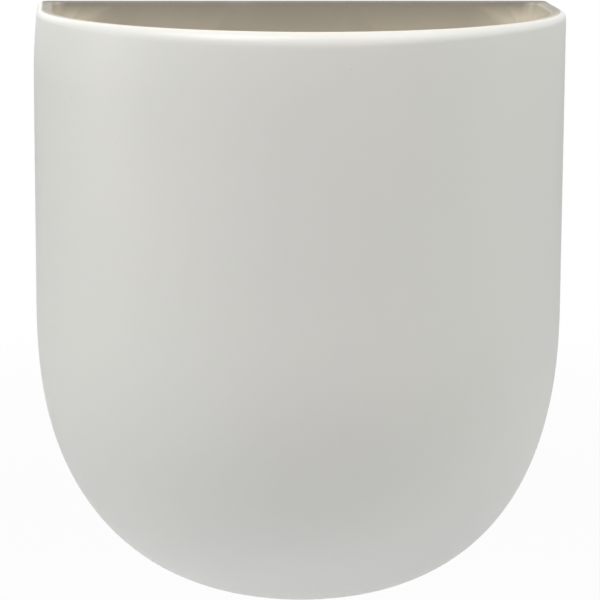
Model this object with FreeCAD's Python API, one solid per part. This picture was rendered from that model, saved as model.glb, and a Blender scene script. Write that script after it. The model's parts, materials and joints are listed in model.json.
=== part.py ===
"""Half-round wall planter: a glazed clay pot that hangs by two keyholes on two plugged wall screws.

Frame, in millimetres: the wall is the plane y = 0 and the room lies towards -Y, X runs to the right
for someone facing the wall, and Z is up. The origin is on the wall, midway between the two screws.
"""

import FreeCAD
import Part
import math
import os
from FreeCAD import Vector

# The pot's outside
width = 190.0  # across the straight sides
height = 212.5  # from the lowest point of the bowl to the rim
side_depth = 37.5  # straight sides, from the flat back to where the half-round front begins
bowl_height = 109.5  # the rounded bottom, up to where the wall stands upright
bowl_power = 2.47  # 2 would make the bottom an ellipse, more makes it fuller

# The clay
wall = 5.5
back_wall = 6.5
floor_wall = 7.0
shoulder_height = 12.0  # below the rim, where the wall begins to lean in
shoulder_lean = 0.5  # how far it has leaned in at the rim
rim_round = 3.0  # outer edge of the rim
lip_round = 1.2  # inner edge of the rim
back_round = 4.5  # edge all round the flat back
corner_round = 7.0  # inside, where the back wall meets the rest

# The keyholes in the back wall
screw_spacing = 100.0
screw_drop = 30.0  # the screws below the rim, when the pot hangs on them
lift = 9.5  # how far the pot rises before the screw heads meet the entry holes
slot_clearance = 0.5  # each side of the shank
entry_clearance = 0.75  # all round the head
hang_gap = 0.3  # between the top of the slot and the shank
keyhole_round = 0.8  # glaze-softened edge

# The screws
shank_radius = 2.0
thread_core_radius = 1.45
thread_pitch = 1.8
thread_crest = 0.3  # flat on the crest of a thread
thread_length = 26.0
screw_length = 40.0  # under the head
screw_point = 4.0
head_radius = 4.0
head_height = 2.6
head_edge = 0.9  # upright edge below the dome of the head
head_gap = 0.5  # between the head and the back wall
recess_width = 0.9
recess_span = 4.4
recess_depth = 1.5

# The wall plugs
plug_radius = 3.0
plug_length = 30.0
plug_neck = 7.0  # plain part at the mouth
plug_clearance = 0.05  # between the thread's crests and the bore
tooth_count = 6
tooth_depth = 0.45
tooth_end = 2.0  # plain part at the far end
slit_width = 0.8
fin_thickness = 0.8
fin_height = 1.0
fin_start = 1.5
fin_taper = 1.5

# The pads on the back
pad_radius = 6.0
pad_thickness = 2.0
pad_round = 0.6
pad_inset = 15.0  # from the pad's centre square out to the pot's side
upper_pad_drop = 15.0  # the upper pads' centres below the rim
lower_pad_rise = 26.0  # where the lower pads' insets start on the side, above the bowl's lowest point

outline_steps = 16  # points along the formula's curve for a quarter of the bottom
spare = 10.0  # how far a cutting shape runs past what it cuts
touch = 0.01  # edges this near to a plane or an outline lie on it

half_width = width / 2
rim_z = screw_drop
bottom_z = rim_z - height
back_y = -pad_thickness
curve_y = back_y - side_depth
inner_back_y = back_y - back_wall

FORWARD = Vector(0, -1, 0)
TO_WALL = Vector(0, 1, 0)
UP = Vector(0, 0, 1)


def lower_pad_place():
    """The centre of the lower right pad: square in from a point on the bowl's outline."""
    below = 1 - lower_pad_rise / bowl_height
    across = (1 - below**bowl_power) ** (1 / bowl_power)
    outline_point = Vector(half_width * across, 0, bottom_z + lower_pad_rise)
    across_slope = across ** (bowl_power - 1) / half_width
    down_slope = below ** (bowl_power - 1) / bowl_height
    outward = Vector(across_slope, 0, -down_slope).normalize()
    return outline_point - outward * pad_inset


def side_outline(half, bowl, tall, lean, side):
    """The outline in the XZ plane from the lowest point, at the origin, out along the bottom and up to the rim.

    The bottom follows a superellipse and the wall stands upright. From the shoulder up it leans in along an
    arc, or goes on straight where there is no lean.
    """
    points = []
    for step in range(outline_steps + 1):
        turn = math.pi / 2 * step / outline_steps
        across = half * math.sin(turn) ** (2 / bowl_power)
        rise = bowl * (1 - math.cos(turn) ** (2 / bowl_power))
        points.append(Vector(side * across, 0, rise))
    bottom = Part.BSplineCurve()
    bottom.interpolate(Points=points, InitialTangent=Vector(side, 0, 0), FinalTangent=UP)

    if not lean:
        return [bottom.toShape(), Part.makeLine(points[-1], Vector(side * half, 0, tall))]
    shoulder = Vector(side * half, 0, tall - shoulder_height)
    lean_radius = (shoulder_height**2 + lean**2) / (2 * lean)
    turn = math.asin(shoulder_height / lean_radius)
    centre = shoulder - Vector(side * lean_radius, 0, 0)
    halfway = centre + Vector(side * lean_radius * math.cos(turn / 2), 0, lean_radius * math.sin(turn / 2))
    rim = shoulder + Vector(-side * lean, 0, shoulder_height)
    upright = Part.makeLine(points[-1], shoulder)
    return [bottom.toShape(), upright, Part.Arc(shoulder, halfway, rim).toShape()]


def half_round(half, straight, bowl, tall, lean):
    """A solid with a flat back, straight sides and a half-round front, its lowest point at the origin.

    The straight part lies behind the XZ plane. Before that plane the outline is turned about Z.
    """
    foot = Vector(0, 0, 0)
    top = Vector(0, 0, tall)
    right = side_outline(half, bowl, tall, lean, 1)
    left = side_outline(half, bowl, tall, lean, -1)
    right_rim = right[-1].Vertexes[-1].Point
    left_rim = left[-1].Vertexes[-1].Point

    profile = [Part.makeLine(top, foot)] + right + [Part.makeLine(right_rim, top)]
    front = Part.Face(Part.Wire(profile)).revolve(foot, UP, -180)
    outline = right + left + [Part.makeLine(right_rim, left_rim)]
    rear = Part.Face(Part.Wire(Part.sortEdges(outline)[0])).extrude(TO_WALL * straight)
    return front.fuse(rear).removeSplitter().Solids[0]


def edges_on(shape, low, high):
    """The edges of a shape that lie wholly between two corners."""
    box = FreeCAD.BoundBox(low, high)
    box.enlarge(touch)
    return [edge for edge in shape.Edges if box.isInside(edge.BoundBox)]


def rim_edges(shape):
    """The edges in the plane of the rim."""
    reach = width + side_depth
    return edges_on(shape, Vector(-reach, -reach, rim_z), Vector(reach, reach, rim_z))


def back_edges(shape, y):
    """The edges round an upright face at y, without the one along its top."""
    reach = width + height
    around = edges_on(shape, Vector(-reach, y, -reach), Vector(reach, y, reach))
    top = max(edge.BoundBox.ZMax for edge in around)
    return [edge for edge in around if edge.BoundBox.ZMin < top - rim_round]


def keyhole(x):
    """The empty space of one keyhole: a slot for the shank above a round entry hole for the head."""
    slot_radius = shank_radius + slot_clearance
    entry_radius = head_radius + entry_clearance
    end_z = shank_radius + hang_gap - slot_radius
    start = back_y + spare
    deep = back_wall + 2 * spare
    entry = Part.makeCylinder(entry_radius, deep, Vector(x, start, -lift), FORWARD)
    end = Part.makeCylinder(slot_radius, deep, Vector(x, start, end_z), FORWARD)
    corner = Vector(x - slot_radius, start - deep, -lift)
    slot = Part.makeBox(2 * slot_radius, deep, end_z + lift, corner)
    return entry.fuse([end, slot]).removeSplitter()


def make_pot():
    """The clay shell: outside, cavity, rim and keyholes."""
    outside = half_round(half_width, side_depth, bowl_height, height, shoulder_lean)
    outside.translate(Vector(0, curve_y, bottom_z))
    outside = outside.makeFillet(back_round, back_edges(outside, back_y))
    outside = outside.makeFillet(rim_round, rim_edges(outside))

    cavity = half_round(
        half_width - wall,
        side_depth - back_wall,
        bowl_height - floor_wall,
        height - floor_wall + spare,
        0,
    )
    cavity.translate(Vector(0, curve_y, bottom_z + floor_wall))
    cavity = cavity.makeFillet(corner_round, back_edges(cavity, inner_back_y))
    pot = outside.cut(cavity)
    lip = [edge for edge in rim_edges(pot) if at_mouth(edge)]
    pot = pot.makeFillet(lip_round, lip)

    for x in (-screw_spacing / 2, screw_spacing / 2):
        pot = pot.cut(keyhole(x))
        for y in (back_y, inner_back_y):
            pot = pot.makeFillet(keyhole_round, keyhole_edges(pot, x, y))
    return pot.Solids[0]


def at_mouth(edge):
    """Whether an edge in the plane of the rim bounds the mouth, which lies a wall inside the outline."""
    middle = edge.valueAt((edge.FirstParameter + edge.LastParameter) / 2)
    ahead = min(0, middle.y - curve_y)
    from_middle = math.hypot(middle.x, ahead)
    return from_middle < half_width - wall + touch and middle.y < inner_back_y + touch


def keyhole_edges(shape, x, y):
    """The edges of one keyhole in the face at y."""
    reach = head_radius + entry_clearance
    low = Vector(x - reach, y, -lift - reach)
    high = Vector(x + reach, y, shank_radius + hang_gap)
    return edges_on(shape, low, high)


def turned_about_y(outline, x):
    """A closed outline of (radius, y) points turned about the Y axis and moved to x."""
    points = [Vector(radius, y, 0) for radius, y in outline]
    solid = Part.Face(Part.makePolygon(points + points[:1])).revolve(Vector(0, 0, 0), TO_WALL, 360)
    solid.translate(Vector(x, 0, 0))
    return solid


def make_screw(x):
    """A pan-head screw along Y, with its head in front of the pot's back wall and its point in the plug."""
    seat_y = inner_back_y - head_gap
    tip_y = seat_y + screw_length
    thread_y = tip_y - thread_length
    point_y = tip_y - screw_point
    flank = (thread_pitch - thread_crest) / 2

    shank = [(0, seat_y), (shank_radius, seat_y), (shank_radius, thread_y - flank), (thread_core_radius, thread_y)]
    y = thread_y
    while y + thread_pitch <= point_y:
        shank += [(shank_radius, y + flank), (shank_radius, y + flank + thread_crest)]
        y += thread_pitch
        shank.append((thread_core_radius, y))
    shank += [(thread_core_radius, point_y), (0, tip_y)]
    body = turned_about_y(shank, x)

    dome_rise = head_height - head_edge
    dome_radius = (head_radius**2 + dome_rise**2) / (2 * dome_rise)
    edge = Part.makeCylinder(head_radius, head_height, Vector(x, seat_y, 0), FORWARD)
    dome = Part.makeSphere(dome_radius, Vector(x, seat_y - head_height + dome_radius, 0))
    head = edge.common(dome)

    blade = Part.makeBox(
        recess_span,
        recess_depth + spare,
        recess_width,
        Vector(x - recess_span / 2, seat_y - head_height - spare, -recess_width / 2),
    )
    upright = blade.copy()
    upright.rotate(Vector(x, 0, 0), TO_WALL, 90)
    return body.fuse(head).cut([blade, upright]).removeSplitter().Solids[0]


def make_plug(x):
    """A nylon wall plug, flush with the wall: a plain neck with two fins, then teeth split by a slit."""
    bore_radius = shank_radius + plug_clearance
    tooth = (plug_length - plug_neck - tooth_end) / tooth_count
    outline = [(bore_radius, 0), (plug_radius, 0), (plug_radius, plug_neck)]
    for number in range(tooth_count):
        start = plug_neck + number * tooth
        outline += [(plug_radius - tooth_depth, start), (plug_radius, start + tooth)]
    outline += [(plug_radius - tooth_depth, plug_length), (bore_radius, plug_length)]
    body = turned_about_y(outline, x)

    slit = Part.makeBox(
        slit_width,
        plug_length,
        2 * plug_radius + 2 * spare,
        Vector(x - slit_width / 2, plug_neck, -plug_radius - spare),
    )
    root = bore_radius + plug_clearance
    fin_outline = [
        Vector(root, fin_start, 0),
        Vector(plug_radius, fin_start, 0),
        Vector(plug_radius + fin_height, fin_start + fin_taper, 0),
        Vector(plug_radius + fin_height, plug_neck - fin_taper, 0),
        Vector(plug_radius, plug_neck, 0),
        Vector(root, plug_neck, 0),
    ]
    fin = Part.Face(Part.makePolygon(fin_outline + fin_outline[:1])).extrude(UP * fin_thickness)
    fin.translate(Vector(0, 0, -fin_thickness / 2))
    other = fin.copy()
    other.rotate(Vector(0, 0, 0), TO_WALL, 180)
    fins = fin.fuse(other)
    fins.translate(Vector(x, 0, 0))
    return body.fuse(fins).cut(slit).removeSplitter().Solids[0]


def make_pad(x, z):
    """A soft round pad, stuck to the flat back and touching the wall."""
    pad = Part.makeCylinder(pad_radius, pad_thickness, Vector(x, back_y, z), TO_WALL)
    outer = [edge for edge in pad.Edges if edge.BoundBox.YMin > -pad_round]
    return pad.makeFillet(pad_round, outer)


def pad_places():
    """Where each pad sits on the back, as name, x and z."""
    upper = Vector(half_width - pad_inset, 0, rim_z - upper_pad_drop)
    for level, place in (("upper", upper), ("lower", lower_pad_place())):
        yield f"pad_{level}_left", -place.x, place.z
        yield f"pad_{level}_right", place.x, place.z


def make_all():
    """Every piece by its node's name."""
    pieces = {"pot": make_pot()}
    for side, x in (("left", -screw_spacing / 2), ("right", screw_spacing / 2)):
        pieces[f"screw_{side}"] = make_screw(x)
        pieces[f"plug_{side}"] = make_plug(x)
    for name, x, z in pad_places():
        pieces[name] = make_pad(x, z)
    return pieces


os.makedirs("parts", exist_ok=True)
for name, shape in make_all().items():
    shape.exportStep(f"parts/{name}.step")
    print(name, "valid" if shape.isValid() else "NOT VALID", round(shape.Volume), "mm3")
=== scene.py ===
# %% [markdown]
# # A half-round wall planter in white satin glaze
#
# The real object is slip-cast clay: a pot with a flat back and a half-round front that closes in a bowl.
# It hangs by two keyholes on two screws, the screws sit in nylon plugs, and four soft pads keep the clay
# off the wall. The CAD model, the frame, settles every size, place and joint. This notebook gives the
# pieces their finish and their small forms, and it reads its main sizes from the frame, so that nothing
# has to be fitted afterwards.

# %% The frame
import json
import math

import bmesh
import bpy
from mathutils import Matrix, Vector, noise


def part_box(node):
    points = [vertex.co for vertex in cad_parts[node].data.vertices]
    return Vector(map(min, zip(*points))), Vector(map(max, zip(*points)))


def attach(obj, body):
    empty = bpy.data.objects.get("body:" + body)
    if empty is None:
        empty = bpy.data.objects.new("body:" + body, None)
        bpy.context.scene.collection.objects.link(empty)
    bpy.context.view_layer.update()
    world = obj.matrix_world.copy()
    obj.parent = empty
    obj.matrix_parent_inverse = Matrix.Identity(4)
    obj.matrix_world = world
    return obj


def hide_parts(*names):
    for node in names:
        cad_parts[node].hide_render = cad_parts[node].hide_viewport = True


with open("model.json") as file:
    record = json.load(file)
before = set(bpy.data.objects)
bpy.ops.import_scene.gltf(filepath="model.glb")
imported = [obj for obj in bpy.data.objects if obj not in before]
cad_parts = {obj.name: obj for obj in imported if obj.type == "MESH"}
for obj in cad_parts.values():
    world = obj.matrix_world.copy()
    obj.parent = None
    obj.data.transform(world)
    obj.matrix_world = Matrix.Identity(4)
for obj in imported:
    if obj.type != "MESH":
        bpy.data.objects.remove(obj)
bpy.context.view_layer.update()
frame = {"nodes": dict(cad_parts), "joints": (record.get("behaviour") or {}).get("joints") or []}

mm = 0.001
touch = 0.01 * mm
print("nodes:", sorted(frame["nodes"]))

# %% [markdown]
# ## Camera
#
# The photograph was taken from a little left of the pot and a little above it, with a long lens. A camera
# could be placed by eye, but this one comes from matching the rim's curve and the outline of the bowl, so
# the render and the photograph can be laid over each other. The long lens keeps the sides nearly straight.

# %% Camera
camera_place = Vector((-65.9 * mm, -1107.6 * mm, 120.2 * mm))
camera_yaw = math.radians(3.5662)
camera_pitch = math.radians(10.38)
camera_roll = math.radians(0.2877)
camera_lens = 179.43

turned = Matrix.Rotation(-camera_yaw, 4, "Z")
tilted = Matrix.Rotation(math.pi / 2 - camera_pitch, 4, "X")
rolled = Matrix.Rotation(camera_roll, 4, "Z")
camera = bpy.data.objects.new("camera", bpy.data.cameras.new("camera"))
camera.data.lens = camera_lens
camera.data.sensor_width = 36
camera.data.clip_start = 0.01
camera.data.clip_end = 50
camera.matrix_world = Matrix.Translation(camera_place) @ turned @ tilted @ rolled
bpy.context.scene.collection.objects.link(camera)
bpy.context.scene.camera = camera
bpy.context.scene.view_settings.view_transform = "Standard"
print("camera at", tuple(round(c, 3) for c in camera_place))

# %% [markdown]
# ## Writing shaders as expressions
#
# A procedural finish is arithmetic on patterns. Linking each Math node by hand hides that arithmetic, so a
# small class wraps a socket and turns `+ - * /` into Math nodes. Every other node comes from one method,
# which takes the node's type, its settings and its inputs.


# %% Shader helpers
class Value:
    """A number that varies over a surface: a socket whose operators add Math nodes."""

    def __init__(self, finish, socket):
        self.finish = finish
        self.socket = socket

    def math(self, operation, *others):
        return self.finish.add("ShaderNodeMath", {"operation": operation}, dict(enumerate((self, *others))))

    def __add__(self, other):
        return self.math("ADD", other)

    __radd__ = __add__

    def __mul__(self, other):
        return self.math("MULTIPLY", other)

    __rmul__ = __mul__

    def __sub__(self, other):
        return self.math("SUBTRACT", other)

    def __rsub__(self, other):
        return self.finish.add("ShaderNodeMath", {"operation": "SUBTRACT"}, {0: other, 1: self})

    def between(self, low, high):
        """0 below low, 1 above high and a smooth climb between them."""
        inputs = {"Value": self, "From Min": low, "From Max": high}
        return self.finish.add("ShaderNodeMapRange", {"interpolation_type": "SMOOTHSTEP"}, inputs)


class Finish:
    """A material that is built up node by node."""

    def __init__(self, name, **sockets):
        self.material = bpy.data.materials.new(name)
        self.material.use_nodes = True
        self.tree = self.material.node_tree
        self.shader = self.tree.nodes["Principled BSDF"]
        for socket, value in sockets.items():
            self.shader.inputs[socket.replace("_", " ")].default_value = value

    def add(self, kind, settings=None, inputs=None, output=0):
        """Adds a node: its settings first, then the values or links of its sockets."""
        node = self.tree.nodes.new(kind)
        for name, value in (settings or {}).items():
            setattr(node, name, value)
        for name, value in (inputs or {}).items():
            self.feed(node.inputs[name], value)
        return Value(self, node.outputs[output])

    def feed(self, socket, value):
        """Links a value to a socket, or sets a plain number or colour on it."""
        if isinstance(value, Value):
            self.tree.links.new(value.socket, socket)
        elif socket.type == "RGBA" and len(value) == 3:
            socket.default_value = (*value, 1)
        else:
            socket.default_value = value

    def place(self):
        """The Object coordinates, which are the frame's own metres."""
        return self.add("ShaderNodeTexCoord", output="Object")

    def axis(self, name):
        """One of the Object coordinates as a number."""
        return self.add("ShaderNodeSeparateXYZ", inputs={0: self.place()}, output=name)

    def speckle(self, scale, detail=2.0, roughness=0.5, stretch=(1, 1, 1)):
        """Soft noise from 0 to 1, with as many lumps to the metre as scale says."""
        place = self.place()
        if stretch != (1, 1, 1):
            place = self.add("ShaderNodeMapping", inputs={"Vector": place, "Scale": stretch})
        inputs = {"Vector": place, "Scale": scale, "Detail": detail, "Roughness": roughness}
        return self.add("ShaderNodeTexNoise", inputs=inputs)

    def painted(self, name):
        """A number that was stored on the mesh."""
        return self.add("ShaderNodeAttribute", {"attribute_name": name}, output="Fac")

    def mix(self, share, first, second):
        """The first colour where share is 0 and the second where it is 1."""
        node = self.tree.nodes.new("ShaderNodeMix")
        node.data_type = "RGBA"
        node.clamp_factor = True
        for socket, value in ((node.inputs[0], share), (node.inputs[6], first), (node.inputs[7], second)):
            self.feed(socket, value)
        return Value(self, node.outputs[2])

    def bump(self, height, distance, strength=1.0, under=None):
        """A normal from a height of 0 to 1 that stands distance metres tall, over another normal."""
        inputs = {"Height": height, "Distance": distance, "Strength": strength}
        if under is not None:
            inputs["Normal"] = under
        return self.add("ShaderNodeBump", inputs=inputs)

    def drive(self, **sockets):
        """Feeds the surface's own shader with what varies over it."""
        for socket, value in sockets.items():
            self.feed(self.shader.inputs[socket.replace("_", " ")], value)
        return self.material


print("shader helpers ready")

# %% [markdown]
# ## Finishing a mesh
#
# Each piece is shaped in a bmesh with a few tools of a workshop: a string of points, a knife, a draw-out of
# open edges and a rounding. It could be an object edited with modifiers, but a bmesh keeps every step in
# view. It is handed over once. Its faces shade smoothly, and a Weighted Normal modifier lets the large flat
# faces keep their own direction, so that a narrow rounded edge catches the light without bending the
# shading of the flat beside it.


# %% Mesh helpers
def finish_piece(bm, name, body, nodes, material):
    """Turns a bmesh into a piece that stands for CAD nodes and rides on their body."""
    for face in bm.faces:
        face.smooth = True
    mesh = bpy.data.meshes.new(name)
    bm.to_mesh(mesh)
    bm.free()
    mesh.materials.append(material)
    piece = bpy.data.objects.new(name, mesh)
    bpy.context.scene.collection.objects.link(piece)
    weighted = piece.modifiers.new("flat_faces_rule", "WEIGHTED_NORMAL")
    weighted.keep_sharp = True
    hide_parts(*nodes)
    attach(piece, body)
    print(name, len(mesh.polygons), "faces")
    return piece


def soften(bm, edges, size, segments):
    """Rounds edges over."""
    bmesh.ops.bevel(
        bm,
        geom=edges,
        offset=size,
        offset_type="OFFSET",
        segments=segments,
        profile=0.5,
        affect="EDGES",
        clamp_overlap=False,
        material=-1,
    )


def edges_where(bm, test):
    """The edges whose two ends both pass a test of their place."""
    return [edge for edge in bm.edges if all(test(vert.co) for vert in edge.verts)]


def string(bm, places, closed=False):
    """Vertices at the places, in order, and the edges from each to the next."""
    verts = [bm.verts.new(place) for place in places]
    following = verts[1:] + verts[:1] if closed else verts[1:]
    return verts, [bm.edges.new(pair) for pair in zip(verts, following)]


def draw_out(bm, edges):
    """Extrudes open edges, and returns the new vertices and the new open edges."""
    grown = bmesh.ops.extrude_edge_only(bm, edges=edges)["geom"]
    moved = {item for item in grown if isinstance(item, bmesh.types.BMVert)}
    return moved, [edge for edge in bm.edges if moved.issuperset(edge.verts)]


def knife(bm, place, direction, trim=False):
    """Cuts the mesh along a plane, and drops what lies on the direction's side if trim is set."""
    bmesh.ops.bisect_plane(
        bm,
        geom=list(bm.verts) + list(bm.edges) + list(bm.faces),
        dist=touch / 10,
        plane_co=place,
        plane_no=direction,
        clear_outer=trim,
    )


def is_closed(bm):
    """Whether no edge of the mesh is open."""
    return not any(edge.is_boundary for edge in bm.edges)


print("mesh helpers ready")

# %% [markdown]
# ## The pot's shell
#
# Slip is poured into a plaster mould and poured out again, which leaves a wall of even thickness that
# follows the mould. The shell could be one sheet with a Solidify modifier, but the back wall and the floor
# are thicker than the front. So the outside and the inside are two sheets of the same kind, joined along
# the rim. Each sheet is a profile spun half a turn for the front, drawn straight back for the sides and
# closed with a flat face, and its back edge is rounded like the mould's.

# %% The pot's sizes
pot_low, pot_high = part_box("pot")
half_width = pot_high.x
back_y = pot_high.y
curve_y = pot_low.y + half_width
rim_z = pot_high.z
bottom_z = pot_low.z

wall = 5.5 * mm
back_wall = 6.5 * mm
floor_wall = 7.0 * mm
bowl_height = 109.5 * mm
bowl_power = 2.47
fine_height = 24.0 * mm
rim_band = 6.0 * mm
rim_round = 2.2 * mm
lip_round = 1.2 * mm
back_round = 4.5 * mm
corner_round = 7.0 * mm
inner_back_y = back_y - back_wall

bowl_steps = 40
wall_steps = 12
fine_steps = 8
turn_steps = 120
side_steps = 4
round_steps = 6
top_cuts = 15
print("pot", round(2 * half_width, 4), "wide and", round(rim_z - bottom_z, 4), "tall")


# %% The half-round sheet
def profile(half, bowl, low):
    """The (across, z) points from the lowest point out along the bottom and up to the rim.

    The rows are closer over the top fine_height, and the last rim_band is one row that the rounding needs.
    """
    points = []
    for step in range(bowl_steps + 1):
        turn = math.pi / 2 * step / bowl_steps
        across = half * math.sin(turn) ** (2 / bowl_power)
        points.append((across, low + bowl * (1 - math.cos(turn) ** (2 / bowl_power))))
    upright = rim_z - fine_height - low - bowl
    for step in range(1, wall_steps + 1):
        points.append((half, low + bowl + upright * step / wall_steps))
    for step in range(1, fine_steps + 1):
        points.append((half, rim_z - fine_height + (fine_height - rim_band) * step / fine_steps))
    points.append((half, rim_z))
    return points


def half_round_sheet(points, back, rounding):
    """A profile spun round the front, drawn back along the sides and closed by a flat back."""
    bm = bmesh.new()
    chain, line = string(bm, [(across, curve_y, z) for across, z in points])
    bmesh.ops.spin(
        bm,
        geom=chain + line,
        cent=(0, curve_y, 0),
        axis=(0, 0, 1),
        angle=-math.pi,
        steps=turn_steps,
    )
    bmesh.ops.remove_doubles(bm, verts=bm.verts, dist=touch)

    rear = edges_where(bm, lambda place: abs(place.y - curve_y) < touch)
    for step in range(side_steps):
        moved, rear = draw_out(bm, rear)
        bmesh.ops.translate(bm, verts=list(moved), vec=(0, (back - curve_y) / side_steps, 0))

    corners = [vert for vert in moved if abs(vert.co.z - rim_z) < touch]
    top = bm.edges.new(corners)
    split = bmesh.ops.subdivide_edges(bm, edges=[top], cuts=top_cuts)["geom_split"]
    top_line = [item for item in split if isinstance(item, bmesh.types.BMEdge)]
    bmesh.ops.contextual_create(bm, geom=rear + top_line)
    soften(bm, rear, rounding, round_steps)
    bmesh.ops.recalc_face_normals(bm, faces=bm.faces)
    return bm


outside = half_round_sheet(profile(half_width, bowl_height, bottom_z), back_y, back_round)
inside = half_round_sheet(
    profile(half_width - wall, bowl_height - floor_wall, bottom_z + floor_wall),
    inner_back_y,
    corner_round,
)
print("outside", len(outside.faces), "inside", len(inside.faces), "faces")

# %% [markdown]
# ## Rim, lip and keyholes
#
# The rim is cut off with a knife while the clay is leather-hard, and a wet sponge rounds it: more on the
# outside than on the inside, and most along the front, where the hand presses. Here the two open loops
# are bridged and the two edges bevelled, and the outer rounding grows toward the front. The keyholes are
# punched through the back wall. A Boolean would cut them, but their outline is known, so the flat faces
# are filled again around it and the two outlines bridged, which keeps the mesh clean enough to round
# their edges too.

# %% The rim
bmesh.ops.reverse_faces(inside, faces=inside.faces)
lining = bpy.data.meshes.new("lining")
inside.to_mesh(lining)
inside.free()
outside.from_mesh(lining)
bpy.data.meshes.remove(lining)

shell = outside
open_edges = [edge for edge in shell.edges if edge.is_boundary]
bmesh.ops.bridge_loops(shell, edges=open_edges)


def depth_in_clay(place):
    """How far a point lies in from the pot's outer face, whichever side of the pot is nearest."""
    from_middle = math.hypot(place.x, min(0, place.y - curve_y)) / half_width
    below = max(0, bottom_z + bowl_height - place.z) / bowl_height
    reach = (from_middle**bowl_power + below**bowl_power) ** (1 / bowl_power)
    across = half_width + (bowl_height - half_width) * min(1, below)
    return min((1 - reach) * across, back_y - place.y)


def outward_at(place):
    """The way out of the half-round front: 1 long at the outer face, and straight sideways at the sides."""
    return Vector((place.x, min(0, place.y - curve_y), 0)) / half_width


def on_rim(place):
    """Whether a point lies in the plane of the rim."""
    return abs(place.z - rim_z) < touch


rim_steps = 8
lip_steps = 4
sponge_across = 1.9 * mm
sponge_down = 2.8 * mm
sponge_spared = 0.35

outer_edge = edges_where(shell, lambda place: on_rim(place) and depth_in_clay(place) < wall / 2)
soften(shell, outer_edge, rim_round, rim_steps)
for vert in shell.verts:
    below_rim = rim_z - vert.co.z
    depth = depth_in_clay(vert.co)
    if below_rim < rim_round + touch and depth < wall / 2 and vert.co.y < curve_y:
        outward = outward_at(vert.co)
        sponged = outward.y**2 * (1 - sponge_spared * max(0, outward.x))
        vert.co.z -= below_rim * sponged * sponge_down / rim_round
        vert.co -= outward * (depth * sponged * sponge_across / rim_round)
inner_edge = edges_where(shell, lambda place: on_rim(place) and depth_in_clay(place) > wall - touch)
soften(shell, inner_edge, lip_round, lip_steps)
print("shell", len(shell.faces), "faces, closed:", is_closed(shell))

# %% The keyholes
screw_xs = [sum(corner.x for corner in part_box(node)) / 2 for node in ("screw_left", "screw_right")]
lift = frame["joints"][0]["range_m"][1]
shank_radius = 2.0 * mm
slot_clearance = 0.5 * mm
hang_gap = 0.3 * mm
entry_radius = 4.75 * mm
keyhole_round = 0.8 * mm
keyhole_steps = 3
arc_steps = 32


def keyhole_outline(x):
    """The (x, z) points round one keyhole: the entry hole's arc, then the slot's round end."""
    slot_radius = shank_radius + slot_clearance
    end_z = shank_radius + hang_gap - slot_radius
    mouth = math.asin(slot_radius / entry_radius)
    for step in range(arc_steps + 1):
        turn = mouth + (2 * math.pi - 2 * mouth) * step / arc_steps
        yield x + entry_radius * math.sin(turn), entry_radius * math.cos(turn) - lift
    for step in range(arc_steps // 2 + 1):
        turn = math.pi * (2 * step / arc_steps - 0.5)
        yield x + slot_radius * math.sin(turn), slot_radius * math.cos(turn) + end_z


def punched_face(bm, y, toward):
    """Fills the flat face at y again, around the keyholes, and returns their outlines."""
    flat = [face for face in bm.faces if all(abs(vert.co.y - y) < touch for vert in face.verts)]
    around = {edge for face in flat for edge in face.edges}
    border = [edge for edge in bm.edges if edge in around and any(face not in flat for face in edge.link_faces)]
    bmesh.ops.delete(bm, geom=flat, context="FACES_ONLY")
    outlines = []
    for x in screw_xs:
        outlines.append(string(bm, [(px, y, pz) for px, pz in keyhole_outline(x)], closed=True)[1])
    loops = border + [edge for outline in outlines for edge in outline]
    bmesh.ops.triangle_fill(bm, use_beauty=True, use_dissolve=False, edges=loops, normal=(0, toward, 0))
    return outlines


for behind, ahead in zip(punched_face(shell, back_y, 1), punched_face(shell, inner_back_y, -1)):
    bmesh.ops.bridge_loops(shell, edges=behind + ahead)
    soften(shell, behind + ahead, keyhole_round, keyhole_steps)
bmesh.ops.recalc_face_normals(shell, faces=shell.faces)
print("shell", len(shell.faces), "faces, clay", round(shell.calc_volume(signed=True) * 1e6), "ml")

# %% [markdown]
# ## What the kiln does to the shape
#
# No fired pot is exact. Its walls wave by a fifth of a millimetre, an open rim pulls in as it dries, here
# on the left and least where the back wall holds it, and the bowl hangs a little to the right. A Displace
# modifier could do the waves alone, but these are small moves of the vertices, all inward or inside the
# measured size. Three numbers are also stored on the mesh for the glaze: how far a point is inside the
# pot, whether it lies on the rim's flat top, where shade is painted, and how near it is to the inner lip,
# where shade is painted too.

# %% Kiln warp and stored numbers
wave_height = 0.2 * mm
wave_length = 70 * mm
pull_height = 22 * mm
pull_left = 1.25 * mm
pull_curve = 1.7
back_holds = 0.3
bowl_drift = 1.0 * mm
drift_depth = 110 * mm

bare_edge = 1.5 * mm
# how far down the inside the painted shade under the lip reaches
lip_shade_depth = 13 * mm
lip_fade = 2.2 * mm
back_lip_shift = 2.5 * mm
# how much stronger the painted shade on the rim's flat top is along the back
back_shade_more = 0.25


def climb(value, low, high):
    """0 below low, 1 above high and a smooth climb between them."""
    share = min(1, max(0, (value - low) / (high - low)))
    return share * share * (3 - 2 * share)


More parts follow.
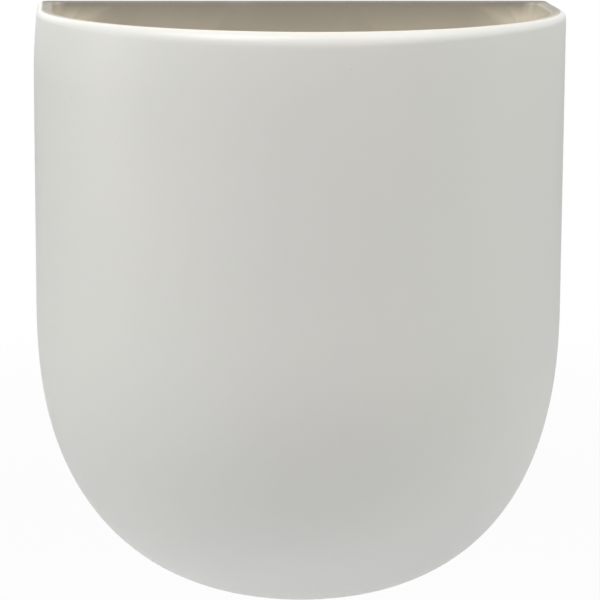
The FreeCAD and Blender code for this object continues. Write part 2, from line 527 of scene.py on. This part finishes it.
inside_layer = shell.verts.layers.float.new("inside")
# The "thin" number marks the rim's flat top, where shade is painted darker, most along the back.
rim_top_shade_layer = shell.verts.layers.float.new("thin")
# The "lip" number marks the inside just under the lip, where shade is painted darker.
lip_shade_layer = shell.verts.layers.float.new("lip")
for vert in shell.verts:
    place = vert.co.copy()
    depth = depth_in_clay(place)
    outward = outward_at(place)
    toward_front = max(0, -outward.y)
    at_back = climb(place.y, inner_back_y - corner_round, inner_back_y)

    glazed_inside = place.y < back_y - bare_edge
    vert[inside_layer] = climb(depth, 0.25 * wall, 0.95 * wall) if glazed_inside else 0
    rounded = rim_round + toward_front * sponge_across
    lip_start = wall - lip_round + at_back * back_lip_shift
    flat_top = climb(depth, 0.6 * rounded, rounded) * (1 - climb(depth, lip_start, lip_start + lip_fade))
    top = climb(place.z, rim_z - rim_round, rim_z - 0.3 * rim_round) * (1 - toward_front**2)
    # painted shade on the rim's flat top, made stronger at the back
    vert[rim_top_shade_layer] = flat_top * top * (1 + back_shade_more * at_back)
    vert[lip_shade_layer] = climb(depth, wall - lip_round, wall) * climb(place.z, rim_z - lip_shade_depth, rim_z)

    free = climb(back_y - place.y, 5 * mm, 40 * mm)
    wave = wave_height * (0.5 + 0.5 * noise.noise(place / wave_length)) * free
    up = max(0, 1 - (rim_z - place.z) / pull_height) ** pull_curve
    held = 1 - back_holds * climb(place.y, curve_y, back_y)
    vert.co -= outward * (wave + pull_left * up * held * (1 - outward.x) / 2)
    vert.co.x += bowl_drift * climb(-place.z, drift_depth, -bottom_z)
print("warped", len(shell.verts), "points")

# %% [markdown]
# ## Satin glaze
#
# The glaze is a matt-leaning white with a soft sheen. A single white would look like plastic, so it drifts
# a little between cool and warm, carries a few iron specks and has the faint orange peel of a sprayed
# coat. The rim's flat top, most along the back, and the inner lip are darker: this is painted shade. The
# rim's flat top is also rougher. Inside, the colour is lighter and warmer: partly a warmer glaze and partly
# painted warm bounce light. The flat back stays bare: the pot lies
# on it in the kiln, and glaze there would fuse it to the shelf. Everything reads Object coordinates, so
# the pattern is fixed to the clay.

# %% Satin glaze
glaze = Finish("white_satin_glaze", IOR=1.5)

drift = glaze.speckle(14, detail=3)
cloud = glaze.speckle(45, detail=4, roughness=0.6)
outer_white = glaze.mix(drift, (0.735, 0.735, 0.715), (0.765, 0.752, 0.725))
# The inside is lighter and warmer than the outside: partly a warmer glaze, partly painted warm bounce light.
inner_cream_and_bounce = glaze.mix(drift, (0.86, 0.80, 0.69), (0.88, 0.815, 0.70))
coat = glaze.mix(glaze.painted("inside"), outer_white, inner_cream_and_bounce)
# painted shade on the inside, just under the lip
coat = glaze.mix(glaze.painted("lip") * 0.4, coat, (0.52, 0.48, 0.405))
# painted shade: the rim's flat top darkened, most along the back
coat = glaze.mix(glaze.painted("thin") * 0.8, coat, (0.22, 0.20, 0.17))
coat = glaze.mix(cloud.between(0.45, 0.8) * 0.10, coat, (0.70, 0.70, 0.69))


def specks(finish, scale, size, share):
    """1 on round specks: size is in cells, and share is how many of the cells hold one."""
    settings = {"feature": "F1"}
    inputs = {"Vector": finish.place(), "Scale": scale}
    near = finish.add("ShaderNodeTexVoronoi", settings, inputs, output="Distance")
    pick = finish.add("ShaderNodeTexVoronoi", settings, inputs, output="Color")
    red = finish.add("ShaderNodeSeparateColor", inputs={0: pick}, output="Red")
    return (1 - near.between(size * 0.5, size)) * red.between(1 - share, 1 - share + 0.01)


iron = specks(glaze, 260, 0.06, 0.05)
pinholes = specks(glaze, 420, 0.05, 0.06)
coat = glaze.mix(iron * 0.55, coat, (0.33, 0.26, 0.19))

wobble = glaze.speckle(160, detail=3) * (1.2 * mm)
bare = (glaze.axis("Y") + wobble).between(back_y - 0.6 * mm, back_y - 0.3 * mm)
grain = glaze.speckle(1800, detail=5, roughness=0.7)
clay = glaze.mix(grain, (0.60, 0.565, 0.51), (0.70, 0.67, 0.62))
clay = glaze.mix(glaze.speckle(30, detail=4).between(0.5, 0.75) * 0.35, clay, (0.52, 0.50, 0.47))
surface = glaze.mix(bare, coat, clay)

sheen = 0.36 + cloud * 0.08
# the rim's flat top, which the "thin" number marks for its painted shade, is also rougher
dry = bare.math("MAXIMUM", glaze.painted("thin").math("MINIMUM", 0.8))
roughness = sheen + dry * (0.9 - sheen)
peel = glaze.bump(glaze.speckle(520, detail=2), 0.03 * mm, strength=0.6)
peel = glaze.bump(1 - pinholes, 0.06 * mm, strength=0.7, under=peel)
gritty = glaze.bump(grain * bare, 0.10 * mm, strength=0.8, under=peel)
glaze.drive(Base_Color=surface, Roughness=roughness, Normal=gritty)
print("glaze nodes:", len(glaze.tree.nodes))

# %% The pot
finish_piece(shell, "pot_shell", "hung_pot", ["pot"], glaze.material)

# %% [markdown]
# ## Wall screws
#
# Each screw is a zinc-plated pan head with a cross recess. Its thread is rolled, so it is a real helix that
# runs out into the shank. A screw could be a stack of rings, but a helix costs no more here: one pitch of
# the thread's outline is spun with a rise per step, and its turns are merged where they meet. A knife
# trims both ends, the point is squeezed in, and the rest grows from the cut end ring by ring, up to the
# dome, where the recess is punched like the keyholes.

# %% The screw's sizes
seat_y = inner_back_y - 0.5 * mm
tip_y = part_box("screw_left")[1].y
head_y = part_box("screw_left")[0].y
head_radius = 4.0 * mm
head_edge = 0.9 * mm
core_radius = 1.45 * mm
thread_pitch = 1.8 * mm
thread_crest = 0.3 * mm
thread_y = 5.0 * mm
point_y = tip_y - 4.0 * mm
point_squeeze = 0.93
nose_length = 0.15 * mm
recess_width = 0.9 * mm
recess_span = 4.4 * mm
recess_depth = 1.5 * mm
neck_round = 0.3 * mm
head_chamfer = 0.15 * mm
round_turn = 36
print("screw", round((tip_y - seat_y) / mm, 1), "mm under the head")


# %% The rolled thread
def rolled_thread():
    """A helix from one pitch of its outline, trimmed at both ends and squeezed to a point."""
    bm = bmesh.new()
    flank = (thread_pitch - thread_crest) / 2
    start_y = thread_y - 2 * thread_pitch
    turns = math.ceil((tip_y - start_y) / thread_pitch) + 2
    outline = (
        (core_radius, 0),
        (shank_radius, flank),
        (shank_radius, flank + thread_crest),
        (core_radius, thread_pitch),
    )
    chain, line = string(bm, [(radius, start_y + y, 0) for radius, y in outline])
    bmesh.ops.spin(
        bm,
        geom=chain + line,
        cent=(0, 0, 0),
        axis=(0, 1, 0),
        dvec=(0, thread_pitch / round_turn, 0),
        angle=2 * math.pi * turns,
        steps=round_turn * turns,
    )
    bmesh.ops.remove_doubles(bm, verts=bm.verts, dist=touch)
    knife(bm, (0, thread_y, 0), (0, -1, 0), trim=True)
    knife(bm, (0, tip_y - nose_length, 0), (0, 1, 0), trim=True)
    for vert in bm.verts:
        squeeze = 1 - point_squeeze * min(1, max(0, (vert.co.y - point_y) / (tip_y - point_y)))
        vert.co.x *= squeeze
        vert.co.z *= squeeze
    tip = [edge for edge in bm.edges if edge.is_boundary and edge.verts[0].co.y > point_y]
    cap = bmesh.ops.contextual_create(bm, geom=tip)["faces"]
    nose = bmesh.ops.poke(bm, faces=cap)["verts"]
    bmesh.ops.translate(bm, verts=nose, vec=(0, tip_y - nose[0].co.y, 0))
    return bm


def next_ring(bm, ring, radius, y):
    """Extrudes the open ring and gives the new one a radius and a place."""
    moved, ring = draw_out(bm, ring)
    for vert in moved:
        out = Vector((vert.co.x, 0, vert.co.z)).normalized() * radius
        vert.co = Vector((out.x, y, out.z))
    return ring


print("thread", len(rolled_thread().faces), "faces")


# %% The screw's head
dome_radii = [3.9 * mm, 3.7 * mm, 3.4 * mm, 3.1 * mm, 2.8 * mm, 2.5 * mm]
recess_steps = ((0.93, 0.05), (0.86, 0.5), (0.6, 0.85))


def cross_outline():
    """The (x, z) points round the cross recess, one wing after another."""
    half, reach = recess_width / 2, recess_span / 2
    wing = ((half, half), (half, reach * 0.9), (half * 0.6, reach), (-half * 0.6, reach), (-half, reach * 0.9))
    for quarter in range(4):
        turn = Matrix.Rotation(quarter * math.pi / 2, 2)
        for point in wing:
            yield turn @ Vector(point)


def dome_y(x, z):
    """Where the head's domed top lies over a point across it."""
    rise = seat_y - head_edge - head_y
    ball = (head_radius**2 + rise**2) / (2 * rise)
    return head_y + ball - math.sqrt(ball**2 - x * x - z * z)


def wall_screw(x):
    """One screw: the thread, its shank, the underside, the rim and the dome with its recess."""
    bm = rolled_thread()
    ring = [edge for edge in bm.edges if edge.is_boundary]
    for radius, y in (
        (shank_radius, thread_y - thread_pitch),
        (shank_radius, seat_y + neck_round),
        (shank_radius + neck_round, seat_y),
        (head_radius - head_chamfer, seat_y),
        (head_radius, seat_y - head_chamfer),
        (head_radius, seat_y - head_edge + 0.1 * mm),
    ):
        ring = next_ring(bm, ring, radius, y)
    for radius in dome_radii:
        ring = next_ring(bm, ring, radius, dome_y(radius, 0))
    for vert in {vert for edge in ring for vert in edge.verts}:
        vert.co.y = head_y
    lips = string(bm, [(px, head_y, pz) for px, pz in cross_outline()], closed=True)[1]
    filled = bmesh.ops.triangle_fill(bm, use_beauty=True, edges=ring + lips, normal=(0, -1, 0))["geom"]
    inner = [item for item in filled if isinstance(item, bmesh.types.BMEdge) and not item.is_boundary]
    bmesh.ops.subdivide_edges(bm, edges=[edge for edge in inner if edge not in ring], cuts=2, use_grid_fill=True)
    for vert in bm.verts:
        if abs(vert.co.y - head_y) < touch:
            vert.co.y = dome_y(vert.co.x, vert.co.z)
    for share, depth in recess_steps:
        sunk, lips = draw_out(bm, lips)
        for vert in sunk:
            vert.co = Vector((vert.co.x * share, head_y + depth * recess_depth, vert.co.z * share))
    bottom = bmesh.ops.contextual_create(bm, geom=lips)["faces"]
    deepest = bmesh.ops.poke(bm, faces=bottom)["verts"]
    bmesh.ops.translate(bm, verts=deepest, vec=(0, (1 - recess_steps[-1][1]) * recess_depth, 0))
    bmesh.ops.recalc_face_normals(bm, faces=bm.faces)
    bmesh.ops.translate(bm, verts=bm.verts, vec=(x, 0, 0))
    return bm


print("dome rises", round((dome_y(head_radius, 0) - head_y) / mm, 2), "mm")

# %% [markdown]
# ## Zinc plate
#
# Bright zinc is a thin, slightly bluish metal with a warm cast where the passivation is thicker. The head
# keeps fine turned rings from the die, and the driver leaves dark scratches round the recess. Rings need
# the distance from the screw's own axis, and because the two screws mirror each other, the absolute X
# gives it for both.


# %% Zinc plate
def off_axis(finish):
    """How far a point lies from the axis of the screw and plug on its own side."""
    across = finish.axis("X").math("ABSOLUTE") - abs(screw_xs[0])
    height = finish.axis("Z")
    return (across * across + height * height).math("SQRT")


zinc = Finish("zinc_plate", Metallic=1.0)
radius = off_axis(zinc)
cast = zinc.speckle(260, detail=3)
plating = zinc.speckle(1600, detail=4, roughness=0.65)
rings = ((radius * 26000) + zinc.speckle(900) * 2).math("SINE") * 0.5 + 0.5
steel = zinc.mix(cast.between(0.35, 0.65), (0.60, 0.62, 0.64), (0.72, 0.70, 0.62))
dull = zinc.speckle(2600, detail=5).between(0.52, 0.7) * (1 - radius.between(2.2 * mm, 3.6 * mm))
steel = zinc.mix(dull * 0.6, steel, (0.28, 0.27, 0.26))
# Painted shade: the cross recess is darkened where it sinks into the head.
sunk = zinc.axis("Y").between(head_y + 0.7 * mm, head_y + 1.4 * mm)
recess = sunk * (1 - radius.between(2.0 * mm, 2.4 * mm))
steel = zinc.mix(recess * 0.5, steel, (0.20, 0.19, 0.18))
scored = zinc.bump(rings, 0.006 * mm, strength=0.6)
zinc.drive(
    Base_Color=steel,
    Roughness=0.22 + plating * 0.2 + dull * 0.2,
    Normal=zinc.bump(plating, 0.015 * mm, strength=0.6, under=scored),
)
for side, x in zip(("left", "right"), screw_xs):
    name = "screw_" + side
    finish_piece(wall_screw(x), name + "_rolled", "wall_fixings", [name], zinc.material)

# %% [markdown]
# ## Wall plugs
#
# A nylon plug grips because the screw spreads its two toothed halves. It could be two half shells, but it
# is moulded in one, so here the toothed outline and the bore are spun into a closed sleeve, two knives
# mark the slit, the strips between them are taken out behind the neck, and the open walls are filled.
# Two wedge-shaped fins stop the plug from turning in its hole.

# %% The plug's sizes
plug_radius = 3.0 * mm
plug_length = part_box("plug_left")[1].y
plug_neck = 7.0 * mm
plug_chamfer = 0.15 * mm
plug_turn = 50
bore_radius = shank_radius + 0.05 * mm
tooth_count = 6
tooth_depth = 0.45 * mm
tooth_end = 2.0 * mm
slit_width = 0.8 * mm
fin_thickness = 0.8 * mm
fin_height = 1.0 * mm
fin_start = 1.5 * mm
fin_taper = 1.5 * mm
fin_round = 0.1 * mm
print("plug", round(plug_length / mm, 1), "mm long")


# %% The plug's sleeve
def plug_outline():
    """The (radius, y) points of the sleeve's section, out along the teeth and back along the bore."""
    tooth = (plug_length - plug_neck - tooth_end) / tooth_count
    yield bore_radius + 0.3 * mm, 0
    yield plug_radius - plug_chamfer, 0
    yield plug_radius, plug_chamfer
    yield plug_radius, plug_neck
    for number in range(tooth_count):
        start = plug_neck + number * tooth
        yield plug_radius - tooth_depth, start + 0.2 * mm
        yield plug_radius - 0.08 * mm, start + tooth - 0.35 * mm
        yield plug_radius, start + tooth
    yield plug_radius - tooth_depth, plug_length - tooth_end + 0.2 * mm
    yield plug_radius - tooth_depth, plug_length - 0.3 * mm
    yield plug_radius - tooth_depth - 0.3 * mm, plug_length
    yield bore_radius, plug_length
    yield bore_radius, plug_neck
    yield bore_radius, 0.3 * mm


def plug_sleeve():
    """The toothed outline spun into a sleeve, with the slit's two sides marked by a knife."""
    bm = bmesh.new()
    chain, line = string(bm, [(radius, y, 0) for radius, y in plug_outline()], closed=True)
    bmesh.ops.spin(
        bm,
        geom=chain + line,
        cent=(0, 0, 0),
        axis=(0, 1, 0),
        angle=2 * math.pi,
        steps=plug_turn,
        use_merge=True,
    )
    for side in (-1, 1):
        knife(bm, (side * slit_width / 2, 0, 0), (1, 0, 0))
    return bm


print("sleeve", len(plug_sleeve().faces), "faces")


# %% The plug's slit and fins
def open_slit(bm):
    """Takes out the strips between the slit's sides, and fills the walls that this leaves open."""
    strips = []
    for face in bm.faces:
        centre = face.calc_center_median()
        if abs(centre.x) < slit_width / 2 - touch / 10 and centre.y > plug_neck + touch / 10:
            strips.append(face)
    bmesh.ops.delete(bm, geom=strips, context="FACES")
    for up in (-1, 1):
        for side in (-1, 1):

            def on_wall(place):
                return abs(place.x - side * slit_width / 2) < touch / 2 and place.z * up > 0

            loose = {vert for edge in bm.edges if edge.is_boundary for vert in edge.verts if on_wall(vert.co)}
            corners = [vert for vert in bm.verts if vert in loose and abs(vert.co.y - plug_neck) < touch / 2]
            root = bm.edges.new(corners)
            edges = [edge for edge in edges_where(bm, on_wall) if edge.is_boundary]
            bmesh.ops.triangle_fill(bm, use_beauty=True, edges=edges + [root], normal=(-side, 0, 0))
        end = [edge for edge in edges_where(bm, lambda place: place.z * up > 0) if edge.is_boundary]
        bmesh.ops.triangle_fill(bm, use_beauty=True, edges=end, normal=(0, 1, 0))


def add_fin(bm, side):
    """One wedge-shaped fin, with its foot sunk into the sleeve's wall and its edges rounded."""
    inner, outer = bore_radius + 0.15 * mm, plug_radius + fin_height
    fin = (
        (inner, fin_start),
        (plug_radius, fin_start),
        (outer, fin_start + fin_taper),
        (outer, plug_neck - fin_taper),
        (plug_radius, plug_neck),
        (inner, plug_neck),
    )
    corners = [bm.verts.new((side * across, y, -fin_thickness / 2)) for across, y in fin]
    base = bm.faces.new(corners)
    grown = bmesh.ops.extrude_face_region(bm, geom=[base], use_keep_orig=True)["geom"]
    raised = [item for item in grown if isinstance(item, bmesh.types.BMVert)]
    bmesh.ops.translate(bm, verts=raised, vec=(0, 0, fin_thickness))
    block = {face for vert in corners + raised for face in vert.link_faces}
    bmesh.ops.recalc_face_normals(bm, faces=list(block))
    edges = {edge for face in block for edge in face.edges}
    soften(bm, [edge for edge in bm.edges if edge in edges and edge.calc_face_angle(0) > 0.5], fin_round, 2)


def wall_plug(x):
    """One plug: the sleeve, its slit and its two fins."""
    bm = plug_sleeve()
    open_slit(bm)
    bmesh.ops.recalc_face_normals(bm, faces=bm.faces)
    for side in (-1, 1):
        add_fin(bm, side)
    bmesh.ops.translate(bm, verts=bm.verts, vec=(x, 0, 0))
    print("plug closed:", is_closed(bm))
    return bm


print("fin", round(fin_height / mm, 1), "mm high")

# %% [markdown]
# ## Moulded nylon
#
# Spark-eroded moulds leave nylon with a fine matt grain. The two mould halves meet in a hair-thin seam
# along the plug, the crests of the teeth are polished where they were pushed out, and masonry dust clings
# to the grain in the wall.

# %% Moulded nylon
nylon = Finish("grey_nylon", IOR=1.53)
grit = nylon.speckle(2400, detail=3, roughness=0.6)
flow = nylon.speckle(180, detail=3, stretch=(1, 0.25, 1))
grey = nylon.mix(flow, (0.29, 0.30, 0.315), (0.36, 0.37, 0.385))
reach = off_axis(nylon)
crest = reach.between(plug_radius - 0.12 * mm, plug_radius)
grey = nylon.mix(crest * 0.35, grey, (0.44, 0.45, 0.46))
behind_wall = nylon.axis("Y").between(0.5 * mm, 2 * mm)
dust = nylon.speckle(700, detail=5, roughness=0.7).between(0.55, 0.72) * behind_wall
grey = nylon.mix(dust * 0.45, grey, (0.62, 0.58, 0.52))
seam = 1 - nylon.axis("Z").math("ABSOLUTE").between(0.03 * mm, 0.08 * mm)
ridge = nylon.bump(seam, 0.05 * mm, strength=0.8)
nylon.drive(
    Base_Color=grey,
    Roughness=0.42 + grit * 0.16 - crest * 0.1 + dust * 0.25,
    Normal=nylon.bump(grit, 0.03 * mm, strength=0.7, under=ridge),
)
for side, x in zip(("left", "right"), screw_xs):
    name = "plug_" + side
    finish_piece(wall_plug(x), name + "_moulded", "wall_fixings", [name], nylon.material)

# %% [markdown]
# ## Soft pads
#
# Four self-adhesive rubber pads keep the clay off the wall. Each is die-moulded: a flat glued face, a
# rounded shoulder, and a face with two shallow rings and a small dimple, so that it grips plaster. A
# cylinder with a bevel would miss the rings, so the whole section is drawn once and spun.

# %% Soft pads
pad_round = 0.6 * mm
pad_round_steps = 6
pad_rings = (4.6 * mm, 3.2 * mm)
ring_depth = 0.12 * mm
ring_foot = 0.12 * mm
ring_mouth = 0.35 * mm
dimple = ((1.2 * mm, 0), (0.7 * mm, 0.3 * mm), (0, 0.4 * mm))


def pad_outline(radius, thick):
    """The (across, depth) points from the glued face's middle round the shoulder to the dimple."""
    yield 0, 0
    yield radius - 0.12 * mm, 0
    yield radius, 0.12 * mm
    for step in range(pad_round_steps + 1):
        turn = math.pi / 2 * step / pad_round_steps
        yield radius - pad_round * (1 - math.cos(turn)), thick - pad_round * (1 - math.sin(turn))
    for across in pad_rings:
        yield across + ring_mouth, thick
        yield across + ring_foot, thick - ring_depth
        yield across - ring_foot, thick - ring_depth
        yield across - ring_mouth, thick
    for across, sunk in dimple:
        yield across, thick - sunk


def soft_pad(node):
    """A pad on the pot's flat back, where the frame has its node."""
    low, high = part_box(node)
    centre = (low + high) / 2
    bm = bmesh.new()
    outline = pad_outline((high.x - low.x) / 2, high.y - low.y)
    chain, line = string(bm, [(across, low.y + y, 0) for across, y in outline])
    bmesh.ops.spin(
        bm,
        geom=chain + line,
        cent=(0, 0, 0),
        axis=(0, 1, 0),
        angle=2 * math.pi,
        steps=64,
        use_merge=True,
    )
    bmesh.ops.remove_doubles(bm, verts=bm.verts, dist=touch / 10)
    bmesh.ops.recalc_face_normals(bm, faces=bm.faces)
    bmesh.ops.translate(bm, verts=bm.verts, vec=(centre.x, 0, centre.z))
    return bm


print("pads grip with", len(pad_rings), "rings")

# %% [markdown]
# ## Pad rubber
#
# The pads are a pale grey, slightly milky rubber with a fine bloom. It is dirtier where it has touched the
# wall, which the distance from the wall plane gives, and carries a few lint specks.

# %% Pad rubber
rubber = Finish("soft_pad", IOR=1.48)
bloom = rubber.speckle(900, detail=4, roughness=0.6)
milk = rubber.speckle(120, detail=2)
pale_grey = rubber.mix(milk, (0.50, 0.50, 0.485), (0.59, 0.59, 0.57))
pale_grey = rubber.mix(bloom.between(0.45, 0.75) * 0.3, pale_grey, (0.68, 0.68, 0.66))
touched = rubber.axis("Y").between(-0.25 * mm, -0.02 * mm)
smudge = rubber.speckle(420, detail=5).between(0.48, 0.7) * touched
pale_grey = rubber.mix(smudge * 0.35, pale_grey, (0.34, 0.33, 0.31))
lint = specks(rubber, 900, 0.16, 0.12)
pale_grey = rubber.mix(lint * 0.6, pale_grey, (0.75, 0.74, 0.72))
rubber.drive(
    Base_Color=pale_grey,
    Roughness=0.48 + bloom * 0.2 + smudge * 0.15,
    Normal=rubber.bump(bloom, 0.02 * mm, strength=0.7),
)
for node in sorted(name for name in frame["nodes"] if name.startswith("pad_")):
    finish_piece(soft_pad(node), node + "_moulded", "hung_pot", [node], rubber.material)

# %% [markdown]
# ## Floor and light
#
# The photograph is a cut-out on pure white. The world is white to the camera and to mirrors, and a weaker
# grey to everything else, so the background doesn't over-light the pot. Broad soft lamps stand round it.
# Two high ones on the left and one on the right whiten the rim's rounding, and lower ones at the sides
# lift the flanks, so the front is darkest along its middle, as in the photograph. Their powers were found
# lamp by lamp, by comparing tones. Two weak ones light the back, and the pale floor lights the bowl.

# %% World
world = bpy.data.worlds.new("white_room")
bpy.context.scene.world = world
world.use_nodes = True
tree = world.node_tree
room = tree.nodes["Background"]
room.inputs["Color"].default_value = (1.0, 1.0, 0.98, 1)
room.inputs["Strength"].default_value = 0.12
backdrop = tree.nodes.new("ShaderNodeBackground")
backdrop.inputs["Color"].default_value = (1, 1, 1, 1)
path = tree.nodes.new("ShaderNodeLightPath")
seen = path.outputs["Is Camera Ray"]
for kind in ("Is Glossy Ray", "Is Transmission Ray"):
    either = tree.nodes.new("ShaderNodeMath")
    either.operation = "MAXIMUM"
    tree.links.new(seen, either.inputs[0])
    tree.links.new(path.outputs[kind], either.inputs[1])
    seen = either.outputs[0]
blend = tree.nodes.new("ShaderNodeMixShader")
tree.links.new(seen, blend.inputs[0])
tree.links.new(room.outputs[0], blend.inputs[1])
tree.links.new(backdrop.outputs[0], blend.inputs[2])
tree.links.new(blend.outputs[0], tree.nodes["World Output"].inputs["Surface"])
print("world ready")


# %% Lamps
def softbox(name, place, aim, size, power, colour):
    """A square area lamp at a place, facing another place."""
    light = bpy.data.lights.new(name, "AREA")
    light.shape = "SQUARE"
    light.size = size
    light.energy = power
    light.color = colour
    lamp = bpy.data.objects.new(name, light)
    lamp.location = place
    lamp.rotation_euler = (Vector(aim) - Vector(place)).to_track_quat("-Z", "Y").to_euler()
    bpy.context.scene.collection.objects.link(lamp)


middle = Vector((0, curve_y, (rim_z + bottom_z) / 2))
lamp_distance = 1.6
# name, degrees round from the front, degrees up, size in metres, watts and colour
lamps = (
    ("high_left", -54, 60, 0.8, 13.2, (1.0, 1.0, 0.99)),
    ("high_front", -40, 60, 0.8, 3.4, (1.0, 0.97, 0.91)),
    ("high_right", 60, 60, 0.8, 6.6, (0.98, 1.0, 1.0)),
    ("over_rim", -10, 75, 0.5, 2.0, (0.85, 0.93, 1.0)),
    ("front_right", 35, 35, 0.8, 2.8, (1.0, 0.9, 0.76)),
    ("side_right", 85, 35, 0.8, 2.2, (0.93, 1.0, 0.97)),
    ("low_right", 85, 10, 0.8, 1.6, (0.94, 1.0, 0.89)),
    ("low_left", -90, 10, 0.8, 3.7, (1.0, 1.0, 0.91)),
    ("back_right", 120, 20, 0.8, 1.3, (0.95, 0.96, 1.0)),
    ("back_left", -150, 30, 0.9, 2.0, (1.0, 1.0, 1.0)),
)
for name, azimuth, elevation, size, power, colour in lamps:
    round_z, up = math.radians(azimuth), math.radians(elevation)
    toward = Vector((math.sin(round_z) * math.cos(up), -math.cos(round_z) * math.cos(up), math.sin(up)))
    softbox(name, middle + lamp_distance * toward, middle, size, power, colour)
print(len(lamps), "lamps ready")

# %% Floor
floor_drop = 0.11
floor_radius = 4
floor_bm = bmesh.new()
bmesh.ops.create_circle(floor_bm, cap_ends=True, segments=96, radius=floor_radius)
floor_mesh = bpy.data.meshes.new("floor")
bmesh.ops.translate(floor_bm, verts=floor_bm.verts, vec=(0, 0, bottom_z - floor_drop))
floor_bm.to_mesh(floor_mesh)
floor_bm.free()
floor = bpy.data.objects.new("floor", floor_mesh)
bpy.context.scene.collection.objects.link(floor)
pale = Finish("pale_floor", Roughness=0.9, Base_Color=(0.86, 0.87, 0.89, 1))
glow = pale.add("ShaderNodeEmission", inputs={"Color": (1, 1, 1), "Strength": 1.0})
look = pale.add("ShaderNodeLightPath", output="Is Camera Ray")
away = pale.add("ShaderNodeVectorMath", {"operation": "LENGTH"}, {0: pale.place()}, output="Value")
both = pale.tree.nodes.new("ShaderNodeMixShader")
pale.tree.links.new((look * (0.9 + away.between(0.5, 1.2) * 0.1)).socket, both.inputs[0])
pale.tree.links.new(pale.shader.outputs[0], both.inputs[1])
pale.tree.links.new(glow.socket, both.inputs[2])
pale.tree.links.new(both.outputs[0], pale.tree.nodes["Material Output"].inputs["Surface"])
floor_mesh.materials.append(pale.material)
print("floor at", round(bottom_z - floor_drop, 3))
